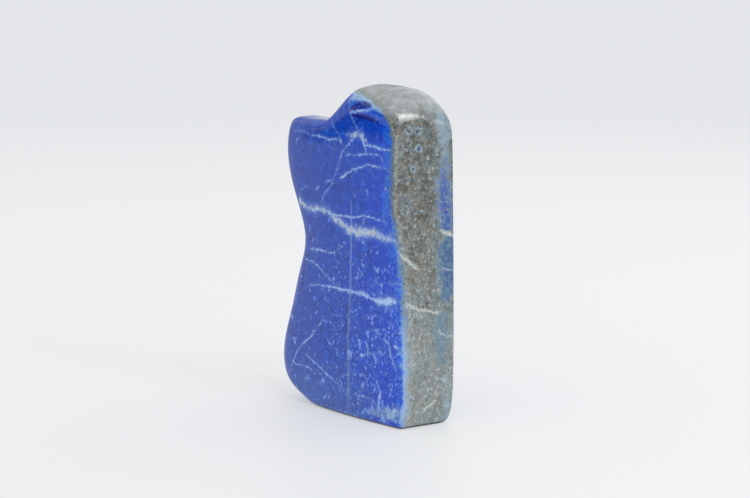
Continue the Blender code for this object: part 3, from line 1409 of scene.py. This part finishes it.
        halo = bench.times(bench.step(thread, -0.9, 0.2), 0.45)
        halo = bench.most(halo, bench.times(bench.step(belt, -2.0, 0.2), 0.62))
        body = bench.blend(bench.most(halo, self.hairlines()), body, blues.haze)
        gleam = bench.span(bench.cloud(spot.place, clouds.gleam), 0.35, 0.60, 0.55, 1.0)
        thread_core = bench.times(bench.step(thread, -0.10, 0.22), gleam)
        body = bench.blend(thread_core, body, blues.thread)
        mottle = bench.span(bench.cloud(spot.place, clouds.mottle), 0.38, 0.58, 0.40, 0.90)
        belt_core = bench.times(bench.step(belt, -0.55, 0.45), mottle)
        pale = bench.blend(bench.step(spot.up, 44.0, 50.0), blues.milk, blues.cream)
        belt_tone = bench.blend(bench.step(lumps, -0.10, 0.10), blues.thread, pale)
        body = bench.blend(belt_core, body, belt_tone)
        heart = bench.times(bench.step(bench.most(belt, thread), 0.22, 0.95), mottle)
        body = bench.blend(heart, body, pale)
        plumb_tone = bench.blend(bench.step(spot.up, 32.0, 44.0), blues.tan, blues.thread)
        body = bench.veil(bench.step(plumb, -0.42, 0.34), 0.38, body, plumb_tone)
        return body, bench.most(thread_core, bench.most(belt_core, heart))

    def with_rings(self, body: Socket) -> Socket:
        """The matrix with its small rings of faded blue.

        Args:
            body: the matrix below them.

        Returns:
            The colour.
        """
        bench, finish, greys = self.bench, self.finish, self.finish.greys
        bent = bench.bent(self.spot.place, finish.grains.ring_bend, finish.ring_bend)
        _, deep, up = bench.split(bent)
        flat = bench.join(0.0, deep, up)
        shift = finish.ring_bend / 2.0
        most_ring: Feed = 0.0
        most_blue: Feed = 0.0
        for ring in finish.rings:
            middle = (0.0, ring.deep + shift, ring.up + shift)
            away = bench.vector("DISTANCE", flat, middle)
            rim = bench.step(bench.gap(away, ring.radius), 0.55, 0.05)
            most_ring = bench.most(rim, most_ring)
            centre = bench.step(away, ring.radius * 0.8, ring.radius * 0.2)
            most_blue = bench.most(bench.times(centre, ring.blue), most_blue)
        broken = bench.cloud(self.spot.place, finish.grains.ring_gaps)
        broken = bench.span(broken, 0.42, 0.56, 0.15, 0.75)
        body = bench.blend(bench.times(most_ring, broken), body, greys.haze)
        return bench.veil(most_blue, 0.8, body, greys.steel)

    def with_faded_blues(self, body: Socket) -> Socket:
        """The matrix with the torn blue strips and pale hazes of the side's far edge; the
        upper haze is a painted reflection on the rounded back edge.

        Args:
            body: the matrix below them.

        Returns:
            The colour.
        """
        bench, spot = self.bench, self.spot
        greys, grains = self.finish.greys, self.finish.grains
        nudged = self.nudged()
        field = VeinField(self.finish.drawing)
        torn = bench.times_plus(bench.cloud(spot.place, grains.torn), 13.0, -6.5)
        # The pale hazes; the one at the shoulder is a painted reflection.
        haze = bench.times_plus(torn, 0.8, field.inside(bench, nudged, Kind.HAZE))
        body = bench.veil(bench.step(haze, -1.4, 2.2), 0.66, body, greys.haze)

        strip = field.inside(bench, nudged, Kind.STRIP)
        body = bench.veil(bench.step(strip, -2.4, 0.8), 0.30, body, greys.haze)
        depth = bench.cloud(spot.place, grains.strip_depth)
        high = bench.step(spot.up, 55.0, 59.0)
        deep_blue = bench.blend(high, greys.steel, greys.strong)
        light_blue = bench.blend(high, greys.teal, greys.faded)
        blue = bench.blend(bench.step(depth, 0.56, 0.45), light_blue, deep_blue)
        fleck = bench.step(bench.cloud(spot.place, grains.strip_flecks), 0.50, 0.66)
        fleck = bench.times(fleck, bench.span(spot.up, 58.0, 72.0, 0.22, 0.44))
        blue = bench.blend(fleck, blue, greys.haze)
        strip = bench.step(bench.plus(strip, torn), -0.9, 1.2)
        body = bench.veil(strip, 0.9, body, blue)

        teal = bench.times_plus(torn, 0.8, field.inside(bench, nudged, Kind.TEAL))
        blue = bench.blend(bench.step(depth, 0.62, 0.40), greys.mist, greys.teal)
        body = bench.veil(bench.step(teal, -1.0, 1.8), 0.72, body, blue)
        milk = field.inside(bench, nudged, Kind.MILK)
        return bench.veil(bench.step(milk, -0.5, 0.4), 0.65, body, greys.milk)

    def matrix_body(self) -> Socket:
        """The matrix: mottled grey and brown with slate, pale and rusty grains.

        Returns:
            Its colour, with the smooth brushed crown on top.
        """
        bench, spot = self.bench, self.spot
        greys, grains = self.finish.greys, self.finish.grains
        high = bench.step(spot.up, 20.0, 64.0)
        mottle = bench.cloud(spot.place, grains.mottle)
        patches = bench.cloud(spot.place, grains.patches)
        level = bench.times_plus(patches, 0.45, bench.times(mottle, 0.70))
        level = bench.times_plus(bench.cloud(spot.place, grains.fine), 0.70, level)
        # Darker higher up the side: partly the matrix's own colour, partly painted shade for
        # the bounce light that the lower side gets from the table.
        level = bench.times_plus(high, -0.21, level)
        body = bench.blend(bench.step(level, 0.62, 0.84), greys.dark, greys.middle)
        body = bench.blend(bench.step(level, 0.78, 1.04), body, greys.light)
        rust = bench.step(bench.cloud(spot.place, grains.rust), 0.49, 0.62)
        body = bench.veil(rust, 0.60, body, greys.rust)
        slate = bench.cloud(spot.place, grains.slate)
        slate = bench.times_plus(bench.step(spot.deep, 9.0, 18.0), 0.06, slate)
        body = bench.veil(bench.step(slate, 0.48, 0.64), 0.65, body, greys.slate)
        pale = bench.times_plus(high, -0.02, bench.cloud(spot.place, grains.pale))
        body = bench.veil(bench.step(pale, 0.53, 0.68), 0.62, body, greys.pale)
        body = self.with_faded_blues(self.with_rings(body))

        brush = bench.cloud(bench.scaled(self.along_crown(), (0.22, 1.0, 1.0)), grains.brushed)
        brush = bench.times_plus(mottle, 0.6, bench.times(brush, 0.5))
        dome_tone = bench.blend(bench.step(brush, 0.42, 0.70), greys.dome, greys.frost)
        return bench.veil(bench.step(spot.up, 90.6, 94.0), 0.72, body, dome_tone)

    def along_crown(self) -> Socket:
        """The drawing turned so that its first part runs along the crown's streaks.

        Returns:
            The turned place.
        """
        turned = self.bench.node("ShaderNodeVectorRotate", rotation_type="Z_AXIS")
        self.bench.feed(turned.inputs["Vector"], self.spot.place)
        turned.inputs["Angle"].default_value = math.radians(self.finish.crown_streaks)
        return turned.outputs[0]

    def painted_rim_highlight(self) -> Socket:
        """The light-blue painted highlight along the border's rim, where the stone's edges
        round, which changes up the stone.

        Returns:
            The colour.
        """
        bench, up, blues = self.bench, self.spot.up, self.finish.blues
        rim = bench.blend(bench.step(up, 24.0, 36.0), blues.rim_low, blues.rim_middle)
        rim = bench.blend(bench.step(up, 60.0, 68.0), rim, blues.rim_high)
        return bench.blend(bench.step(up, 90.5, 94.0), rim, blues.ice)

    def joined(self, inside: Socket, blue: Socket, stone: Socket) -> Socket:
        """The blue and the matrix joined, with the light and dark lines along their border:
        painted highlights of the rounded edge, and painted shade under the crown.

        Args:
            inside: how far inside the matrix a point lies.
            blue: the colour of the blue.
            stone: the colour of the matrix.

        Returns:
            The colour.
        """
        bench, up = self.bench, self.spot.up
        blues, greys = self.finish.blues, self.finish.greys
        mottle = bench.cloud(self.spot.place, self.finish.grains.border_mottle)
        rim_highlight = self.painted_rim_highlight()
        fringe = bench.times(bench.step(inside, -3.6, -1.0), bench.step(mottle, 0.44, 0.60))
        fringe = bench.times(fringe, bench.span(up, 48.0, 56.0, 0.30, 0.85))
        fringe = bench.times(fringe, bench.span(up, 72.0, 80.0, 0.9, 0.30))
        blue = bench.blend(fringe, blue, blues.fringe)
        push = bench.times_plus(mottle, 2.6, bench.minus(inside, 1.3))
        wide = bench.span(up, 86.0, 93.0, -0.9, -1.5)
        wide = bench.plus(wide, bench.span(up, 30.0, 40.0, -0.5, 0.0))
        # Painted highlight on the blue side of the rounded edge.
        blue = bench.veil(bench.step(push, wide, 0.1), 0.85, blue, rim_highlight)

        # Painted highlight: a pale line just inside the matrix along the rounded front-right
        # edge.
        painted_edge_highlight = bench.times(bench.step(inside, 0.5, 1.1), bench.step(inside, 2.7, 1.3))
        painted_edge_highlight = bench.times(painted_edge_highlight, bench.step(mottle, 0.36, 0.60))
        painted_edge_highlight = bench.times(painted_edge_highlight, bench.span(up, 40.0, 66.0, 0.26, 0.44))
        stone = bench.blend(painted_edge_highlight, stone, greys.pale)
        # Painted shade: the matrix darker in the corner under the crown, beside the border.
        corner = bench.times(bench.step(inside, 2.6, 0.6), bench.step(up, 84.0, 88.0))
        stone = bench.veil(corner, 0.65, stone, greys.shade)
        # Painted highlight on the matrix side of the rounded edge.
        stone = bench.veil(bench.step(inside, 1.5, 0.2), 0.48, stone, rim_highlight)
        return bench.blend(bench.step(inside, -0.35, 0.45), blue, stone)

    def matrix_share(self, inside: Socket) -> Socket:
        """How much of a point has the matrix's polish."""
        return self.bench.step(inside, -0.35, 0.55)

    def roughness(self, inside: Socket, veined: Socket) -> Socket:
        """The polish: glossy on the blue and the crown, satin on the side.

        Args:
            inside: how far inside the matrix a point lies.
            veined: how much of a point is vein.

        Returns:
            The roughness.
        """
        bench, spot = self.bench, self.spot
        wear = bench.cloud(spot.place, self.finish.grains.wear)
        blue = bench.span(wear, 0.35, 0.65, 0.07, 0.13)
        blue = bench.times_plus(veined, 0.12, blue)
        grey = bench.span(spot.up, 87.5, 89.5, 0.26, 0.11)
        share = self.matrix_share(inside)
        rough = bench.times_plus(share, bench.minus(grey, blue), blue)
        return bench.times_plus(self.sawn_and_shadowed(), 0.35, rough)

    def relief(self, inside: Socket) -> Socket:
        """The fine relief of the side's grains, and next to none on the polished faces.

        Args:
            inside: how far inside the matrix a point lies.

        Returns:
            The surface's direction.
        """
        bench, spot, grains = self.bench, self.spot, self.finish.grains
        pits = bench.step(bench.cloud(spot.place, grains.pits), 0.36, 0.26)
        height = bench.minus(bench.cloud(spot.place, grains.relief), bench.times(pits, 0.8))
        plain = bench.times(self.matrix_share(inside), bench.step(spot.up, 89.5, 87.5))
        height = bench.times(height, bench.times_plus(plain, 0.8, 0.05))
        bump = bench.node("ShaderNodeBump")
        bump.inputs["Strength"].default_value = 1.0
        bump.inputs["Distance"].default_value = self.finish.relief_depth
        bench.feed(bump.inputs["Height"], height)
        return bump.outputs[0]


def heading(azimuth: float, elevation: float) -> Vector:
    """The way from the stone to somewhere in the studio.

    Args:
        azimuth: degrees round from the front towards the right side.
        elevation: degrees above level.

    Returns:
        A vector of length 1.
    """
    turn, rise = math.radians(azimuth), math.radians(elevation)
    flat = math.cos(rise)
    return Vector((math.sin(turn) * flat, -math.cos(turn) * flat, math.sin(rise)))


@dataclass(frozen=True)
class Patch:
    """One patch of the studio's surroundings that is brighter or dimmer than the rest.

    It is named by the heading of its middle and by the angles from there at which it
    starts to fade and is gone, in degrees.
    """

    azimuth: float
    elevation: float
    full: float
    gone: float
    level: float

    def share(self, bench: Bench, facing: Socket) -> Socket:
        """How much of a direction belongs to the patch.

        Args:
            bench: where the nodes are laid out.
            facing: the direction.

        Returns:
            The share, from 0 to 1.
        """
        middle = heading(self.azimuth, self.elevation)
        turn = bench.vector("DOT_PRODUCT", facing, middle)
        gone, full = math.cos(math.radians(self.gone)), math.cos(math.radians(self.full))
        return bench.step(turn, gone, full)


@dataclass(frozen=True)
class Strip:
    """A dim level strip of the surroundings: its heights, its heading and its reach."""

    low: float
    high: float
    azimuth: float
    reach: float
    level: float
    soft_edge: float = 0.5
    fade: float = 0.4

    def share(self, bench: Bench, facing: Socket) -> Socket:
        """How much of a direction belongs to the strip.

        Args:
            bench: where the nodes are laid out.
            facing: the direction.

        Returns:
            The share, from 0 to 1.
        """
        turn = bench.vector("DOT_PRODUCT", facing, heading(self.azimuth, 0.0))
        edge = math.cos(math.radians(self.reach))
        low, high = math.sin(math.radians(self.low)), math.sin(math.radians(self.high))
        soft = math.sin(math.radians(self.soft_edge))
        _, _, up = bench.split(facing)
        share = bench.step(turn, edge, mix(edge, 1.0, self.fade))
        share = bench.times(share, bench.step(up, low - soft, low + soft))
        return bench.times(share, bench.step(up, high + soft, high - soft))


@dataclass(frozen=True)
class Studio:
    """A round lit table in a white room, with a bright ceiling and one slim bent lamp.

    The lamp is the row of gleams: it shines back from the side's top edge. The first and
    last of table_fade are the distances over which the table turns into the backdrop.
    """

    table_reach: float = 1.6
    table_sides: int = 128
    table_fade: tuple[float, float] = (0.15, 1.52)
    table_paint: Tone = (0.26, 0.262, 0.264, 1.0)
    table_shine: Tone = (0.12, 0.12, 0.12, 1.0)
    table_roughness: float = 0.42
    near_glow: Tone = (0.412, 0.422, 0.432, 1.0)
    backdrop: Tone = (0.776, 0.791, 0.815, 1.0)
    wall: float = 0.78
    wall_top: float = 0.25
    ceiling: float = 1.00
    ceiling_edge: float = 0.80
    patches: tuple[Patch, ...] = (
        Patch(20.0, 58.0, 18.0, 46.0, 1.42),
        Patch(-115.0, 23.0, 8.0, 22.0, 0.45),
        Patch(-174.0, 50.0, 14.0, 42.0, 1.55),
    )
    gleams: tuple[Patch, ...] = (
        Patch(72.0, 50.0, 3.0, 5.0, 15.0),
        Patch(77.0, 38.0, 3.0, 5.0, 15.0),
        Patch(88.0, 42.0, 3.0, 5.0, 15.0),
        Patch(95.0, 34.0, 3.2, 5.2, 16.5),
        Patch(98.0, 27.0, 2.8, 4.4, 19.0),
        Patch(101.0, 21.5, 2.4, 3.8, 15.0),
        Patch(102.5, 16.5, 1.6, 3.0, 11.0),
        Patch(107.0, 16.5, 1.6, 3.0, 8.0),
    )
    strips: tuple[Strip, ...] = (
        Strip(-4.0, 2.6, -34.0, 26.0, 0.05),
        Strip(7.0, 11.5, -46.0, 17.0, 0.08),
    )

    def table_finish(self) -> bpy.types.Material:
        """Pale satin paint that is lit from below too, and fades into the backdrop.

        Returns:
            The table's material.
        """
        paint = bpy.data.materials.new("studio_floor")
        paint.use_nodes = True
        bench = Bench(paint.node_tree)
        own = bench.node("ShaderNodeTexCoord")
        far = bench.vector("LENGTH", own.outputs["Object"])
        fade = bench.step(far, *self.table_fade)
        cover = bench.node("ShaderNodeBsdfDiffuse")
        bench.feed(cover.inputs["Color"], bench.blend(fade, self.table_paint, BLACK))
        shine = bench.node("ShaderNodeBsdfGlossy")
        bench.feed(shine.inputs["Color"], bench.blend(fade, self.table_shine, BLACK))
        shine.inputs["Roughness"].default_value = self.table_roughness
        glow = bench.node("ShaderNodeEmission")
        bench.feed(glow.inputs["Color"], bench.blend(fade, self.near_glow, self.backdrop))
        satin = bench.node("ShaderNodeAddShader")
        bench.feed_all(satin.inputs, (cover.outputs[0], shine.outputs[0]))
        both = bench.node("ShaderNodeAddShader")
        bench.feed_all(both.inputs, (satin.outputs[0], glow.outputs[0]))
        output = bench.node("ShaderNodeOutputMaterial")
        bench.feed(output.inputs["Surface"], both.outputs[0])
        return paint

    def table(self) -> bpy.types.Object:
        """The round table that the stone stands on.

        Returns:
            The table.
        """
        sheet = bmesh.new()
        bmesh.ops.create_circle(
            sheet, cap_ends=True, segments=self.table_sides, radius=self.table_reach
        )
        mesh = bpy.data.meshes.new("studio_floor")
        sheet.to_mesh(mesh)
        sheet.free()
        mesh.materials.append(self.table_finish())
        floor = bpy.data.objects.new("studio_floor", mesh)
        bpy.context.scene.collection.objects.link(floor)
        return floor

    def room_light(self, bench: Bench, facing: Socket) -> Socket:
        """How bright the surroundings are in a direction.

        Args:
            bench: where the nodes are laid out.
            facing: the direction.

        Returns:
            The brightness.
        """
        _, _, up = bench.split(facing)
        bright = bench.span(up, self.wall_top, self.ceiling_edge, self.wall, self.ceiling)
        for part in (*self.patches, *self.gleams, *self.strips):
            rise = bench.minus(part.level, bright)
            bright = bench.times_plus(part.share(bench, facing), rise, bright)
        return bright

    def surroundings(self) -> bpy.types.World:
        """The soft light all round, and a plain pale tone where the camera sees past.

        Returns:
            The room.
        """
        room = bpy.data.worlds.new("studio")
        room.use_nodes = True
        bench = Bench(room.node_tree)
        own = bench.node("ShaderNodeTexCoord")
        light = bench.node("ShaderNodeBackground")
        light.inputs["Color"].default_value = WHITE
        bench.feed(light.inputs["Strength"], self.room_light(bench, own.outputs["Generated"]))
        plain = bench.node("ShaderNodeBackground")
        plain.inputs["Color"].default_value = self.backdrop
        plain.inputs["Strength"].default_value = 1.0
        rays = bench.node("ShaderNodeLightPath")
        seen = bench.node("ShaderNodeMixShader")
        parts = (rays.outputs["Is Camera Ray"], light.outputs[0], plain.outputs[0])
        bench.feed_all(seen.inputs, parts)
        output = bench.node("ShaderNodeOutputWorld")
        bench.feed(output.inputs["Surface"], seen.outputs[0])
        return room

    def build(self) -> bpy.types.Object:
        """Sets up the table, the light and plain display colours.

        Returns:
            The table.
        """
        scene = bpy.context.scene
        scene.world = self.surroundings()
        scene.view_settings.view_transform = "Standard"
        scene.view_settings.look = "None"
        return self.table()


@dataclass(frozen=True)
class StudioCamera:
    """The camera, a little above the stone and turned to show its front and right side."""

    aim: tuple[float, float, float] = (0.0181, -0.0112, 0.05245)
    distance: float = 0.5263
    azimuth: float = 50.0
    elevation: float = 8.0
    lens: float = 86.4
    sensor: float = 36.0
    sees_to: float = 100.0

    def build(self) -> bpy.types.Object:
        """Adds the camera and makes it the scene's own.

        Returns:
            The camera.
        """
        back = heading(self.azimuth, self.elevation)
        lens = bpy.data.cameras.new("studio_camera")
        lens.lens = self.lens
        lens.sensor_width = self.sensor
        lens.clip_end = self.sees_to
        holder = bpy.data.objects.new("studio_camera", lens)
        holder.location = Vector(self.aim) + back * self.distance
        holder.rotation_mode = "QUATERNION"
        holder.rotation_quaternion = (-back).to_track_quat("-Z", "Y")
        bpy.context.scene.collection.objects.link(holder)
        bpy.context.scene.camera = holder
        return holder


def main() -> None:
    """Builds the camera, the studio and the dressed stone."""
    logging.basicConfig(level=logging.INFO, format="%(name)s: %(message)s")
    for made in (StudioCamera().build(), Studio().build()):
        log.info("%s is in place", made.name)
    stone = StoneForm().build()
    stone.data.materials.clear()
    stone.data.materials.append(PolishedLapis().material())
    log.info("%s has %d faces", stone.name, len(stone.data.polygons))


if __name__ == "__main__":
    main()
